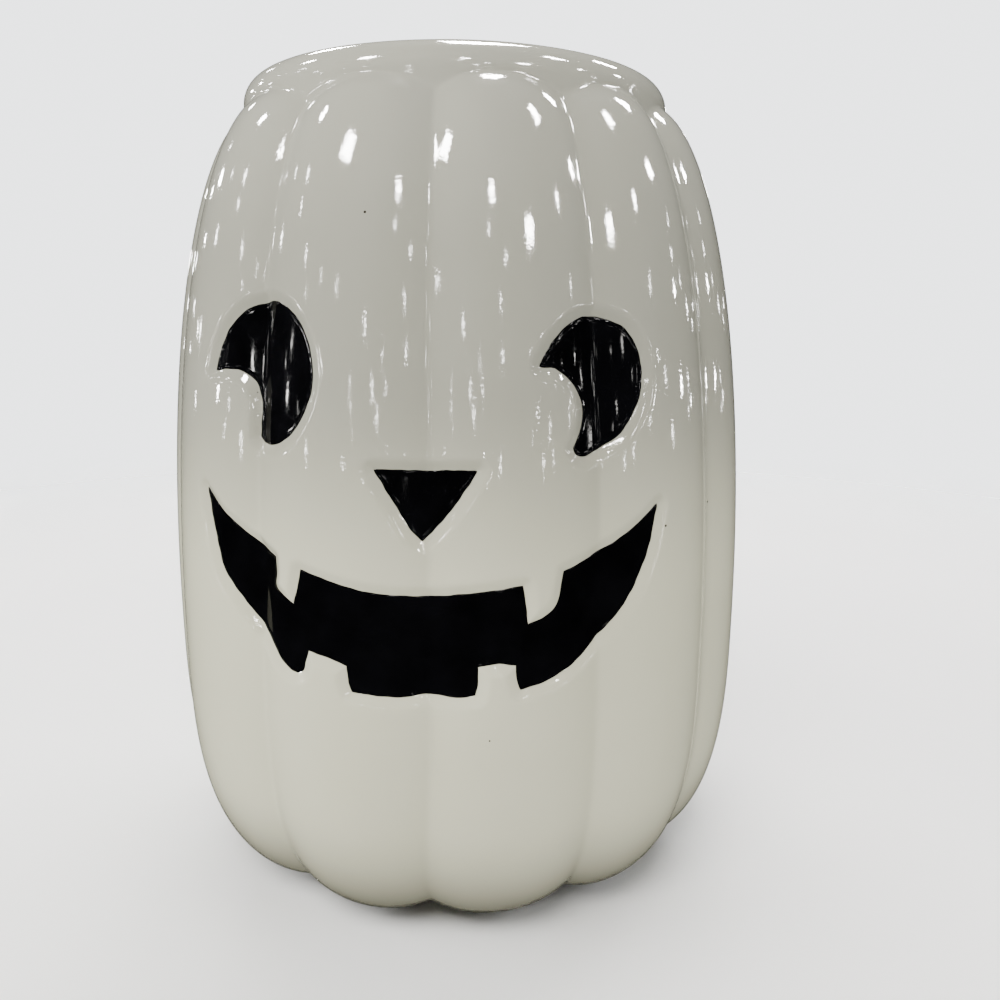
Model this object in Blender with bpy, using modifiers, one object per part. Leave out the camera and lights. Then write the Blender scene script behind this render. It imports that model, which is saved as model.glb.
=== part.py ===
"""A ribbed, pumpkin-shaped ceramic stool with a jack-o'-lantern face sunk into its front.

Metres, +Z up. The stool stands on z = 0, its axis is Z and its face looks toward -Y.
"""

import math

import bmesh
import bpy

MM = 0.001

# The turned shape, through the crest of a rib
HEIGHT = 457 * MM
CREST_R = 174.5 * MM
WIDEST_Z = 151 * MM
SHOULDER_R = 113 * MM
SHOULDER_Z = 443 * MM
UNDER_R = 106 * MM
UNDER_Z = 7.5 * MM
SHOULDER_FULLNESS = (2.03, 2.12)
UNDER_FULLNESS = (2.57, 2.96)

# The plain collar above the ribs and the flat top
COLLAR_R = 123 * MM
EDGE_ROUND = 13 * MM

# The ribs: five valleys in front are placed one by one, and the rest share what is left
RIBS = 12
FRONT_VALLEYS = (-67.0, -31.5, 0.0, 29.0, 59.0)
VALLEY_DEPTH = 7 * MM
VALLEY_SHARPNESS = 2.24
COLUMNS_PER_RIB = 6
RIB_ROWS = 22

# The hollow inside, open at the foot
WALL = 8 * MM
TOP_THICKNESS = 9 * MM
FOOT_R = 103 * MM
MOUTH_R = 86 * MM
CORE_COLUMNS_PER_RIB = 4
CORE_ROWS = 14

# The pads under the foot
PADS = 4
PAD_R = 6.5 * MM
PAD_THICKNESS = 2 * MM
PAD_RING_R = (FOOT_R + MOUTH_R) / 2
GAP = 0.3 * MM
FOOT_Z = PAD_THICKNESS + GAP

# The face: sunk fields, each lined with black glaze. Outlines are laid out flat, in millimetres
# round the body (at this radius, from the middle valley) and up from the floor.
FACE_R = 168 * MM
FIELD_DEPTH = 2.8 * MM
FIELD_GAP = 0.4 * MM
GLAZE_THICKNESS = 1.0 * MM
SLICE_HEIGHT = 23 * MM
CURVE_STEPS = 3

# An outline's points are (round, up), and a third value marks a sharp corner.
LEFT_EYE_AT = (-88, 303)
LEFT_EYE = (
    (-34, 0, "corner"), (-30, 12), (-20, 25), (-5, 32), (12, 32), (26, 22), (34, 3), (30, -17),
    (18, -30), (3, -34), (-3, -31, "corner"), (-2, -16), (-7, -4), (-18, 1),
)
RIGHT_EYE_AT = (81, 298)
RIGHT_EYE = (
    (-28, 10, "corner"), (-24, 18), (-12, 28), (2, 32), (16, 29), (26, 18), (29, 2), (23, -14),
    (10, -27), (-5, -32), (-11, -28, "corner"), (-6, -17), (-5, -8), (-11, 3), (-19, 9),
)
NOSE_AT = (0, 250)
NOSE = (
    (-25, 11, "corner"), (-1, 10), (22, 11, "corner"), (8, -11), (-4, -22, "corner"), (-15, -6),
)
MOUTH_AT = (0, 190)
MOUTH = (
    # the upper lip, with two pointed teeth
    (-130, 53, "corner"), (-118, 43), (-105, 35), (-92, 28), (-81, 24, "corner"),
    (-81, 11, "corner"), (-75, 6), (-67, 3, "corner"), (-63, 21, "corner"), (-33, 14),
    (-3, 11), (16, 13), (43, 17, "corner"), (46, -2, "corner"), (55, 2), (62, 8),
    (64, 22, "corner"), (76, 25), (89, 30), (102, 38), (117, 49, "corner"),
    # the lower lip, with two square teeth
    (112, 29), (104, 11), (94, -5), (80, -18), (64, -28), (43, -33, "corner"),
    (40, -21, "corner"), (31, -20), (22, -22, "corner"), (21, -36, "corner"), (0, -37),
    (-20, -38), (-37, -36, "corner"), (-39, -23, "corner"), (-49, -20), (-60, -18, "corner"),
    (-63, -30), (-67, -31, "corner"), (-78, -26), (-88, -16), (-105, 1), (-117, 14), (-124, 33),
)

CERAMIC = ("white_glaze", (0.84, 0.82, 0.77), 0.12)
BLACK = ("black_glaze", (0.012, 0.012, 0.014), 0.08)
RUBBER = ("pad_rubber", (0.06, 0.06, 0.06), 0.7)


def clear_scene():
    for obj in list(bpy.data.objects):
        bpy.data.objects.remove(obj)


def new_collection(name):
    collection = bpy.data.collections.new(name)
    bpy.context.scene.collection.children.link(collection)
    return collection


def material(name, colour, roughness):
    mat = bpy.data.materials.get(name)
    if mat is None:
        mat = bpy.data.materials.new(name)
        mat.use_nodes = True
        shader = mat.node_tree.nodes["Principled BSDF"]
        shader.inputs["Base Color"].default_value = (*colour, 1.0)
        shader.inputs["Roughness"].default_value = roughness
        shader.inputs["Metallic"].default_value = 0.0
        mat.diffuse_color = (*colour, 1.0)
    return mat


def object_from(bm, name, collection, finish=None):
    bmesh.ops.recalc_face_normals(bm, faces=bm.faces)
    if bm.calc_volume(signed=True) < 0:
        bmesh.ops.reverse_faces(bm, faces=bm.faces)
    mesh = bpy.data.meshes.new(name)
    bm.to_mesh(mesh)
    bm.free()
    obj = bpy.data.objects.new(name, mesh)
    collection.objects.link(obj)
    if finish:
        mesh.materials.append(material(*finish))
    mesh.shade_smooth()
    return obj


def valley_angles():
    """The valleys' angles in degrees, once round and back to the first."""
    last = FRONT_VALLEYS[0] + 360.0
    left = RIBS - len(FRONT_VALLEYS) + 1
    step = (last - FRONT_VALLEYS[-1]) / left
    return list(FRONT_VALLEYS) + [FRONT_VALLEYS[-1] + step * (i + 1) for i in range(left)]


def column_angles(per_rib):
    """The angles of the body's columns: the same number on each rib, one in each valley."""
    valleys = valley_angles()
    angles = []
    for start, end in zip(valleys, valleys[1:]):
        angles += [start + (end - start) * i / per_rib for i in range(per_rib)]
    return angles


def sunk_share(angle):
    """How far down its valley this angle is: 0 on a rib's crest, 1 at the bottom of a valley."""
    valleys = valley_angles()
    turned = (angle - valleys[0]) % 360.0 + valleys[0]
    for start, end in zip(valleys, valleys[1:]):
        if start <= turned <= end:
            across = 2 * (turned - start) / (end - start) - 1
            return abs(across) ** VALLEY_SHARPNESS
    return 1.0


def quarter(inner, z_end, fullness, steps=36):
    """A quarter of a rounded-off oval, from the widest level to (inner, z_end)."""
    points = []
    for i in range(steps + 1):
        turn = math.pi / 2 * i / steps
        r = inner + (CREST_R - inner) * max(math.cos(turn), 0.0) ** (2 / fullness[0])
        z = WIDEST_Z + (z_end - WIDEST_Z) * math.sin(turn) ** (2 / fullness[1])
        points.append((r, z))
    return points


def crest_profile():
    """The (radius, height) line up the crest of a rib, from under the body to its top."""
    lower = quarter(UNDER_R, UNDER_Z, UNDER_FULLNESS)
    upper = quarter(SHOULDER_R, SHOULDER_Z, SHOULDER_FULLNESS)
    return lower[::-1] + upper[1:]


CREST = crest_profile()


def moved_in(depth):
    """The crest's line, moved into the body by this depth."""
    moved = []
    for i, (r, z) in enumerate(CREST):
        before = CREST[max(i - 1, 0)]
        after = CREST[min(i + 1, len(CREST) - 1)]
        along = (after[0] - before[0], after[1] - before[1])
        length = math.hypot(*along)
        moved.append((r - depth * along[1] / length, z + depth * along[0] / length))
    return moved


def up_to_collar(line, collar_r):
    """The line up to where it meets the collar's radius."""
    kept = []
    middle = len(line) // 2
    for i, point in enumerate(line):
        if i > middle and point[0] < collar_r:
            before = line[i - 1]
            share = (before[0] - collar_r) / (before[0] - point[0])
            kept.append((collar_r, before[1] + share * (point[1] - before[1])))
            break
        kept.append(point)
    return kept


def even_points(line, count):
    """This many points, evenly spaced along the line."""
    lengths = [0.0]
    for a, b in zip(line, line[1:]):
        lengths.append(lengths[-1] + math.dist(a, b))
    points = []
    piece = 0
    for i in range(count):
        target = lengths[-1] * i / (count - 1)
        while piece < len(line) - 2 and lengths[piece + 1] < target:
            piece += 1
        span = lengths[piece + 1] - lengths[piece]
        share = min(max((target - lengths[piece]) / span, 0.0), 1.0)
        a, b = line[piece], line[piece + 1]
        points.append((a[0] + share * (b[0] - a[0]), a[1] + share * (b[1] - a[1])))
    return points


def outside_column(angle):
    """The body's outside at this angle, from the foot's rim to the flat top."""
    ribbed = up_to_collar(moved_in(VALLEY_DEPTH * sunk_share(angle)), COLLAR_R)
    rows = [(FOOT_R, FOOT_Z), (FOOT_R, ribbed[0][1])]
    rows += even_points(ribbed, RIB_ROWS)
    join_z = rows[-1][1]
    round_z = HEIGHT - EDGE_ROUND
    rows.append((COLLAR_R, (join_z + round_z) / 2))
    for i in range(5):
        turn = math.pi / 2 * i / 4
        r = COLLAR_R - EDGE_ROUND * (1 - math.cos(turn))
        rows.append((r, round_z + EDGE_ROUND * math.sin(turn)))
    rows.append((COLLAR_R * 0.45, HEIGHT))
    return rows


def inside_column(angle):
    """The hollow's side at this angle, from below the foot to under the flat top."""
    inner_collar = COLLAR_R - WALL
    line = up_to_collar(moved_in(WALL + VALLEY_DEPTH * sunk_share(angle)), inner_collar)
    line = [point for point in line if point[0] > MOUTH_R]
    rows = [(MOUTH_R, -10 * MM), (MOUTH_R, line[0][1])]
    rows += even_points(line, CORE_ROWS)
    rows.append((inner_collar, HEIGHT - TOP_THICKNESS - 8 * MM))
    rows.append((inner_collar - 8 * MM, HEIGHT - TOP_THICKNESS))
    return rows


def around(r, angle, z):
    """The place at this radius, angle from the front in degrees, and height."""
    turn = math.radians(angle)
    return (r * math.sin(turn), -r * math.cos(turn), z)


def turned_solid(name, angles, column, collection, finish=None):
    """A ball whose rings and segments are moved to the rows and columns of the wanted shape."""
    columns = [column(angle) for angle in angles]
    rings = len(columns[0])
    bm = bmesh.new()
    bmesh.ops.create_uvsphere(bm, u_segments=len(angles), v_segments=rings + 1, radius=1.0)
    for vert in bm.verts:
        ring = round(math.acos(max(-1.0, min(1.0, -vert.co.z))) / math.pi * (rings + 1))
        if ring == 0:
            vert.co = (0, 0, columns[0][0][1])
        elif ring == rings + 1:
            vert.co = (0, 0, columns[0][-1][1])
        else:
            turn = math.atan2(vert.co.y, vert.co.x) / (2 * math.pi)
            segment = round(turn * len(angles)) % len(angles)
            r, z = columns[segment][ring - 1]
            vert.co = around(r, angles[segment], z)
    bmesh.ops.triangulate(bm, faces=bm.faces)
    return object_from(bm, name, collection, finish)


def surface_radius(angle, z):
    """The radius of the body's outside at this angle and height."""
    line = moved_in(VALLEY_DEPTH * sunk_share(angle))
    for (r0, z0), (r1, z1) in zip(line, line[1:]):
        if z0 <= z <= z1:
            return r0 + (r1 - r0) * (z - z0) / (z1 - z0)
    return line[-1][0]


def flat_template(outline, centre, grow):
    """The outline as a flat filled curve, moved out all round by this much, then as a mesh."""
    curve = bpy.data.curves.new("template", "CURVE")
    curve.dimensions = "2D"
    curve.fill_mode = "BOTH"
    curve.extrude = 1 * MM
    curve.resolution_u = CURVE_STEPS
    curve.offset = grow
    spline = curve.splines.new("BEZIER")
    spline.bezier_points.add(len(outline) - 1)
    spline.use_cyclic_u = True
    for point, place in zip(spline.bezier_points, outline):
        point.co = ((centre[0] + place[0]) * MM, (centre[1] + place[1]) * MM, 0)
        kind = "VECTOR" if len(place) > 2 else "AUTO"
        point.handle_left_type = kind
        point.handle_right_type = kind
    obj = bpy.data.objects.new("template", curve)
    bpy.context.scene.collection.objects.link(obj)
    graph = bpy.context.evaluated_depsgraph_get()
    bm = bmesh.new()
    bm.from_mesh(bpy.data.meshes.new_from_object(obj.evaluated_get(graph)))
    bpy.data.objects.remove(obj)
    bmesh.ops.remove_doubles(bm, verts=bm.verts, dist=0.002 * MM)
    return bm


def sliced(bm):
    """The flat template, cut along the body's columns and in level rows so that it can bend."""
    low = min(vert.co.x for vert in bm.verts)
    high = max(vert.co.x for vert in bm.verts)
    for angle in column_angles(COLUMNS_PER_RIB):
        x = math.radians(angle) * FACE_R
        if low < x < high:
            cut(bm, (x, 0, 0), (1, 0, 0))
    bottom = min(vert.co.y for vert in bm.verts)
    top = max(vert.co.y for vert in bm.verts)
    for i in range(math.ceil(bottom / SLICE_HEIGHT), math.ceil(top / SLICE_HEIGHT)):
        cut(bm, (0, i * SLICE_HEIGHT, 0), (0, 1, 0))
    bmesh.ops.triangulate(bm, faces=bm.faces)


def cut(bm, place, normal):
    geometry = bm.verts[:] + bm.edges[:] + bm.faces[:]
    bmesh.ops.bisect_plane(bm, geom=geometry, plane_co=place, plane_no=normal, dist=1e-7)


def wrapped(outline, centre, grow, name, bottom, top, collection, finish=None):
    """The template bent round the body, between these two depths below the outside."""
    bm = flat_template(outline, centre, grow)
    sliced(bm)
    for vert in bm.verts:
        angle = math.degrees(vert.co.x / FACE_R)
        depth = bottom if vert.co.z < 0 else top
        r = surface_radius(angle, vert.co.y) - depth
        vert.co = around(r, angle, vert.co.y)
    return object_from(bm, name, collection, finish)


def subtract(obj, cutter):
    modifier = obj.modifiers.new("Cut " + cutter.name, "BOOLEAN")
    modifier.operation = "DIFFERENCE"
    modifier.solver = "EXACT"
    modifier.object = cutter
    cutter.hide_render = True
    cutter.display_type = "WIRE"


def close_seams(obj):
    """Joins the points that the cuts left a hair apart."""
    weld = obj.modifiers.new("Close seams", "WELD")
    weld.merge_threshold = 0.005 * MM


def make_pads(collection):
    for i in range(PADS):
        angle = 45.0 + 360.0 * i / PADS
        bpy.ops.mesh.primitive_cylinder_add(vertices=24, radius=PAD_R, depth=PAD_THICKNESS)
        pad = bpy.context.object
        pad.name = "foot_pad_%d" % (i + 1)
        pad.location = around(PAD_RING_R, angle, PAD_THICKNESS / 2)
        bevel = pad.modifiers.new("Soft rim", "BEVEL")
        bevel.width = 0.4 * MM
        bevel.segments = 2
        bevel.limit_method = "ANGLE"
        pad.data.materials.append(material(*RUBBER))
        for holder in list(pad.users_collection):
            holder.objects.unlink(pad)
        collection.objects.link(pad)


def build():
    clear_scene()
    stool = new_collection("pumpkin_stool")
    cutters = new_collection("cutters")
    columns = column_angles(COLUMNS_PER_RIB)
    body = turned_solid("ceramic_body", columns, outside_column, stool, CERAMIC)
    core_columns = column_angles(CORE_COLUMNS_PER_RIB)
    subtract(body, turned_solid("hollow", core_columns, inside_column, cutters))
    fields = (
        ("left_eye", LEFT_EYE, LEFT_EYE_AT),
        ("right_eye", RIGHT_EYE, RIGHT_EYE_AT),
        ("nose", NOSE, NOSE_AT),
        ("mouth", MOUTH, MOUTH_AT),
    )
    for name, outline, centre in fields:
        field = (name + "_field", FIELD_DEPTH, -6 * MM, cutters)
        subtract(body, wrapped(outline, centre, FIELD_GAP, *field))
        under = FIELD_DEPTH - FIELD_GAP
        lining = (name + "_glaze", under, under - GLAZE_THICKNESS, stool, BLACK)
        wrapped(outline, centre, 0.0, *lining)
    close_seams(body)
    make_pads(stool)


build()
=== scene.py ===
# %% [markdown]
# # A ribbed ceramic pumpkin stool with a jack-o'-lantern face
#
# The real thing is one slip casting: liquid clay is poured into a plaster mould, left until a wall
# of about 8 mm has set against the plaster, and poured out again. The mould gives it the ribs, the
# plain collar and the sunk face. It is then dipped in a glossy ivory glaze, the sunk face is
# flooded with black glaze by hand, the foot is wiped bare, and the whole is fired.
#
# The lesson follows the same order: the cast shape, the face pressed into it, the black glaze laid
# in the face, the bare inside, the finishes, and then a table-top studio to see it in.

import math
import random

import bpy
import numpy as np
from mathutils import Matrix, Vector
from mathutils.geometry import delaunay_2d_cdt


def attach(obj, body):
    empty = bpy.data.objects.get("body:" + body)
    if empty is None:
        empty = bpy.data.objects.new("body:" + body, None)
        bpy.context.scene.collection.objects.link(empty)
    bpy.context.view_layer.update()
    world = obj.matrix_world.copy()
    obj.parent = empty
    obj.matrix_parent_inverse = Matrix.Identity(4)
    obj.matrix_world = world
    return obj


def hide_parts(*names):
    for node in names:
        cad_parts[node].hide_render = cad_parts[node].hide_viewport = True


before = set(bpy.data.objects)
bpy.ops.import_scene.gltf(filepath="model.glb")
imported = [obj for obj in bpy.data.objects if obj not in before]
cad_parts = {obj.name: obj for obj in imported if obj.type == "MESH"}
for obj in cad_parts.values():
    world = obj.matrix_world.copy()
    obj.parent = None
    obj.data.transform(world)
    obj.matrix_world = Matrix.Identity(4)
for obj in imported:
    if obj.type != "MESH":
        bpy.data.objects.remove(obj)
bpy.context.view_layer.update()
MM = 0.001

print("CAD nodes:", sorted(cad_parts))

# %% [markdown]
# ## The turned shape
#
# Everything starts from one line: the outline up the crest of a rib. On the real piece a modeller
# would scrape it with a template. It is two quarters of a rounded-off oval that meet where the
# pumpkin is widest, at a third of its height. A formula is chosen over hand-placed points because
# it stays smooth however finely it is cut up, and a glossy glaze shows every dent. Lengths are in
# millimetres, the face looks toward -Y and heights are measured from the floor.

# %% The line up the crest of a rib
HEIGHT = 457.0
CREST_R = 174.5
WIDEST_Z = 151.0
SHOULDER_R, SHOULDER_Z = 113.0, 443.0
UNDER_R, UNDER_Z = 106.0, 5.0
SHOULDER_FULLNESS = (2.03, 2.12)
UNDER_FULLNESS = (2.57, 2.96)
CREST_SPACING = 1.0


def quarter_oval(inner_r, end_z, fullness, steps=400):
    """Radii and heights from the widest level to (inner_r, end_z)."""
    turn = np.linspace(0, np.pi / 2, steps)
    r = inner_r + (CREST_R - inner_r) * np.cos(turn).clip(0) ** (2 / fullness[0])
    z = WIDEST_Z + (end_z - WIDEST_Z) * np.sin(turn) ** (2 / fullness[1])
    return r, z


def evenly_spaced(r, z, spacing):
    """The same line with its points this far apart."""
    along = np.concatenate([[0], np.cumsum(np.hypot(np.diff(r), np.diff(z)))])
    stops = np.linspace(0, along[-1], int(along[-1] / spacing) + 1)
    return np.interp(stops, along, r), np.interp(stops, along, z)


low_r, low_z = quarter_oval(UNDER_R, UNDER_Z, UNDER_FULLNESS)
high_r, high_z = quarter_oval(SHOULDER_R, SHOULDER_Z, SHOULDER_FULLNESS)
crest_r, crest_z = evenly_spaced(
    np.concatenate([low_r[::-1], high_r[1:]]), np.concatenate([low_z[::-1], high_z[1:]]),
    CREST_SPACING,
)
print("crest line:", len(crest_r), "points, widest", round(crest_r.max(), 1), "mm")

# %% Which way is outward all along the crest
along_r, along_z = np.gradient(crest_r), np.gradient(crest_z)
slope = np.hypot(along_r, along_z)
out_r, out_z = along_z / slope, -along_r / slope
print("under the body it leans", np.degrees(np.arctan2(out_z[0], out_r[0])).round(), "degrees")

# %% [markdown]
# ## Twelve uneven ribs
#
# The ribs were modelled by eye, so they aren't all the same width. The five valleys that show from
# the front are placed one by one, and the seven behind share what is left. A valley is the crest's
# line moved into the body by up to 7.6 mm, deepest at its very bottom. The glaze runs into it
# while it melts and rounds the bottom off, so the V is blunted over about 2 mm. A single number,
# how sunk the surface is at an angle, is enough for the skin, the black glaze and the inside, so
# the three always fit together.

# %% How deep the surface lies between two crests
RIBS = 12
FRONT_VALLEYS = [-67.0, -31.5, 0.0, 29.0, 59.0]
VALLEY_DEPTH = 7.6
VALLEY_SHARPNESS = 2.24
VALLEY_BLUNT = 2.0

valleys_left = RIBS - len(FRONT_VALLEYS) + 1
valley_step = (FRONT_VALLEYS[0] + 360 - FRONT_VALLEYS[-1]) / valleys_left
VALLEYS = np.array(
    FRONT_VALLEYS + [FRONT_VALLEYS[-1] + valley_step * (i + 1) for i in range(valleys_left)]
)


def sunk_share(angle):
    """0 on a crest and nearly 1 at the bottom of a valley, for angles in degrees."""
    turned = (np.asarray(angle) - VALLEYS[0]) % 360 + VALLEYS[0]
    rib = np.clip(np.searchsorted(VALLEYS, turned, side="right") - 1, 0, RIBS - 1)
    width = VALLEYS[rib + 1] - VALLEYS[rib]
    off_crest = np.abs(2 * (turned - VALLEYS[rib]) / width - 1)
    half_rib = np.radians(width / 2) * CREST_R
    from_valley = (1 - off_crest) * half_rib
    blunted = np.sqrt(from_valley**2 + VALLEY_BLUNT**2)
    return np.clip(1 - blunted / half_rib, 0, 1) ** VALLEY_SHARPNESS


print("valley angles:", VALLEYS.round(1))

# %% [markdown]
# ## The face, laid out flat
#
# The face is drawn like a paper pattern, in millimetres round the body from the middle valley and
# up from the floor, and then wrapped on. Each outline is a run of points. A point marked as a
# corner stays sharp, and the rest are joined in a smooth curve, which is how a modeller would trim
# the clay: a few confident cuts between corners. Drawing it flat keeps its shapes easy to read
# and change, and the wrap takes care of the ribs.

# %% The outlines of the eyes and the nose
FACE_R = 168.0
SHARP = True

LEFT_EYE_AT = (-91, 303)
LEFT_EYE = [
    (-34, 0, SHARP), (-31, 10), (-26, 19), (-19, 26), (-12, 30), (-5, 31.5), (3, 33), (13, 31),
    (21, 27), (27, 21), (31, 14), (33.5, 5), (34, -3), (32.5, -10), (29, -18), (23, -26),
    (16, -31), (8, -33.5), (1, -33.5), (-2.5, -31, SHARP), (-2.3, -24), (-2.2, -16), (-3.7, -9),
    (-7, -4), (-12, -1), (-18, 1), (-26, 1),
]
RIGHT_EYE_AT = (81, 298)
RIGHT_EYE = [
    (-28.5, 10, SHARP), (-25.5, 15), (-20, 22), (-12, 28), (-5, 31), (1, 31.5), (8, 31),
    (15, 29), (20.5, 26), (24, 22), (27, 16), (28.5, 8), (28.3, 1), (26, -7), (21.5, -15),
    (15, -23), (7, -28), (-2, -31.5), (-6.5, -32), (-10, -30.5), (-11.2, -28, SHARP),
    (-8, -23), (-5.5, -16), (-4.8, -10), (-6.3, -5), (-9.2, 0), (-14, 5), (-20.5, 9),
]
NOSE_AT = (0, 250)
NOSE = [
    (-25, 11, SHARP), (-12, 10.7), (-1, 10), (10, 10.7), (22, 11, SHARP), (15, 0), (6, -12),
    (-3.5, -22, SHARP), (-8, -17), (-17, -2),
]
print("points drawn:", len(LEFT_EYE), "and", len(RIGHT_EYE), "for the eyes,", len(NOSE), "for the nose")

# %% The outline of the mouth and its teeth
MOUTH_AT = (0, 190)
MOUTH = [
    (-130, 53, SHARP), (-118, 43), (-105, 35), (-92, 28), (-81, 24.5, SHARP), (-80.5, 17),
    (-81, 10), (-76, 6.5), (-68, 3, SHARP), (-66, 9), (-63, 21, SHARP), (-48, 17.5), (-33, 14),
    (-18, 12), (-4, 11), (5, 11.3), (15, 13), (30, 15), (43, 17, SHARP), (44, 9),
    (45.5, -2, SHARP), (54, 1), (60, 6), (62, 12), (64, 22, SHARP), (75, 25), (88, 29.5),
    (101, 37), (117, 49, SHARP), (112, 29), (104, 11), (96, -2), (86, -12.5), (76, -20),
    (66, -26), (53, -31), (42.5, -33.5, SHARP), (41, -29), (40.5, -21, SHARP), (31, -20),
    (22, -21.5, SHARP), (22, -30), (21, -36, SHARP), (12, -37.5), (-4, -37), (-15, -38),
    (-26, -37), (-37, -36, SHARP), (-38.5, -31), (-39, -23, SHARP), (-49, -20),
    (-60, -18, SHARP), (-62, -24), (-63.5, -29), (-67, -31, SHARP), (-72, -30), (-78, -27),
    (-85, -20), (-92, -13), (-105, 0), (-117, 13), (-124, 33),
]
print("points drawn:", len(MOUTH), "for the mouth, with", sum(len(p) > 2 for p in MOUTH), "corners")


# %% Curves through the drawn points
def smooth_outline(points, centre, spacing=0.8):
    """The closed outline as close-set points, curved through all but the sharp ones."""
    place = np.array([point[:2] for point in points], float) + centre
    sharp = [len(point) > 2 for point in points]
    count = len(points)
    line = []
    for i in range(count):
        here, after = place[i], place[(i + 1) % count]
        gap = np.linalg.norm(after - here)
        leave = (after - here) if sharp[i] else (after - place[i - 1])
        arrive = (after - here) if sharp[(i + 1) % count] else (place[(i + 2) % count] - here)
        leave = here + leave / np.linalg.norm(leave) * gap / 3
        arrive = after - arrive / np.linalg.norm(arrive) * gap / 3
        for t in np.arange(0, 1, 1 / max(1, round(gap / spacing))):
            line.append(
                (1 - t) ** 3 * here
                + 3 * (1 - t) ** 2 * t * leave
                + 3 * (1 - t) * t**2 * arrive
                + t**3 * after
            )
    return np.array(line)


FACE = {
    "left_eye": smooth_outline(LEFT_EYE, LEFT_EYE_AT),
    "right_eye": smooth_outline(RIGHT_EYE, RIGHT_EYE_AT),
    "nose": smooth_outline(NOSE, NOSE_AT),
    "mouth": smooth_outline(MOUTH, MOUTH_AT),
}
for feature, line in FACE.items():
    size = line.max(0) - line.min(0)
    print(feature, "pattern:", size.round(0), "mm,", len(line), "points")

# %% [markdown]
# ## Where the black stops
#
# The black is brushed in by hand, so it never follows the cut edge exactly. It climbs half a
# millimetre up the wall and its edge swells and thins a little, as a loaded brush leaves it. Three
# sets of waves of different lengths, added up, look like that and never repeat in view.

# %% The painted outlines
BRUSH_WAVES = [(17, 0.4), (29, 2.1), (46, 4.0)]
POINTS_PER_SET = 500


def brushed_edge(line, spread=0.5, wobble=0.14):
    """The outline pushed out a little, with the small swellings that a loaded brush leaves."""
    after = np.roll(line, -1, axis=0)
    tangent = after - np.roll(line, 1, axis=0)
    tangent /= np.linalg.norm(tangent, axis=1)[:, None]
    way_round = np.sign(np.sum(line[:, 0] * after[:, 1] - after[:, 0] * line[:, 1]))
    outward = way_round * np.stack([tangent[:, 1], -tangent[:, 0]], -1)
    turn = np.linspace(0, 2 * np.pi, len(line), endpoint=False)
    push = np.zeros(len(line))
    for waves, phase in BRUSH_WAVES:
        count = round(waves * len(line) / POINTS_PER_SET) + 3
        push += np.sin(count * turn + phase) / 2
    return line + (spread + wobble * push)[:, None] * outward


PAINTED = {feature: brushed_edge(line) for feature, line in FACE.items()}
print("painted outlines:", len(PAINTED))

# %% [markdown]
# ## How far a spot is from the edge of the face
#
# Both the sunk fields and the black glaze need to know how far each spot lies from the nearest
# outline: below zero inside a field, above zero outside. With that one number the rim can be
# rolled and the floor laid, all running parallel to the drawn edge. Cutting the fields out with
# solid tools would leave hard edges that then need rounding at every tooth.

# %% Distance to the drawn edge
def inside(spots, line):
    """Which of the spots lie inside the closed line."""
    crossings = np.zeros(len(spots), int)
    for (ax, ay), (bx, by) in zip(line, np.roll(line, -1, axis=0)):
        if ay == by:
            continue
        spans = (spots[:, 1] > min(ay, by)) & (spots[:, 1] <= max(ay, by))
        at = ax + (spots[:, 1] - ay) / (by - ay) * (bx - ax)
        crossings += spans & (spots[:, 0] < at)
    return crossings % 2 == 1


def edge_distance(spots, line):
    """Millimetres from each spot to the line, below zero inside it."""
    best = np.full(len(spots), np.inf)
    for a, b in zip(line, np.roll(line, -1, axis=0)):
        step = b - a
        share = np.clip(((spots - a) @ step) / (step @ step), 0, 1)
        off = spots - a - share[:, None] * step
        best = np.minimum(best, np.einsum("ij,ij->i", off, off))
    return np.sqrt(best) * np.where(inside(spots, line), -1, 1)


middle_of_nose = np.array([NOSE_AT], float)
print("the nose's middle is", edge_distance(middle_of_nose, FACE["nose"]).round(1), "mm from its edge")

# %% Distance to the nearest feature
LOOK_WITHIN = 12
FAR_AWAY = 99.0


def face_distance(spots):
    """The distance to the nearest of the face's outlines, looked up only close to them."""
    nearest = np.full(len(spots), FAR_AWAY)
    for line in FACE.values():
        low, high = line.min(0) - LOOK_WITHIN, line.max(0) + LOOK_WITHIN
        close = ((spots > low) & (spots < high)).all(1)
        nearest[close] = np.minimum(nearest[close], edge_distance(spots[close], line))
    return nearest


print("between the eyes:", face_distance(np.array([[0.0, 300.0]])).round(1), "mm from any edge")

# %% [markdown]
# ## The rim of a sunk field
#
# A plaster mould can't hold a knife-sharp edge, and the glaze softens it further. So the surface
# rolls down over 7 mm of white, as a soft lip that catches the light, and is most of the way to
# its 3.2 mm depth where the black begins. The floor levels out just inside that line. One smooth
# S-shaped curve does it all, and it has no crease for the glaze to show.

# %% Depth of the fields from the distance to their edge
FIELD_DEPTH = 3.2
LIP_WIDTH = 7.0
FLOOR_RUN = 1.6


def field_depth(distance):
    """How far the surface is sunk at this distance from the drawn edge."""
    t = np.clip((LIP_WIDTH - distance) / (LIP_WIDTH + FLOOR_RUN), 0, 1)
    return FIELD_DEPTH * t * t * (3 - 2 * t)


print("sunk", field_depth(np.array([6.0, 3.0, 1.0, 0.0, -1.0, -2.5])).round(2), "mm")

# %% [markdown]
# ## The cast body
#
# The body is a net of columns round the axis and rows up the side. Columns crowd together across
# the face, where the fields need a fine net. Each column is the crest's line moved in by its
# share of the valley depth and cut off where it meets the collar, so the tops of the ribs end in
# arches against the plain collar by themselves. A net built by numbers is used, and not a
# sculpted mesh, because the ribs and the face are then sunk into one clean surface.

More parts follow.
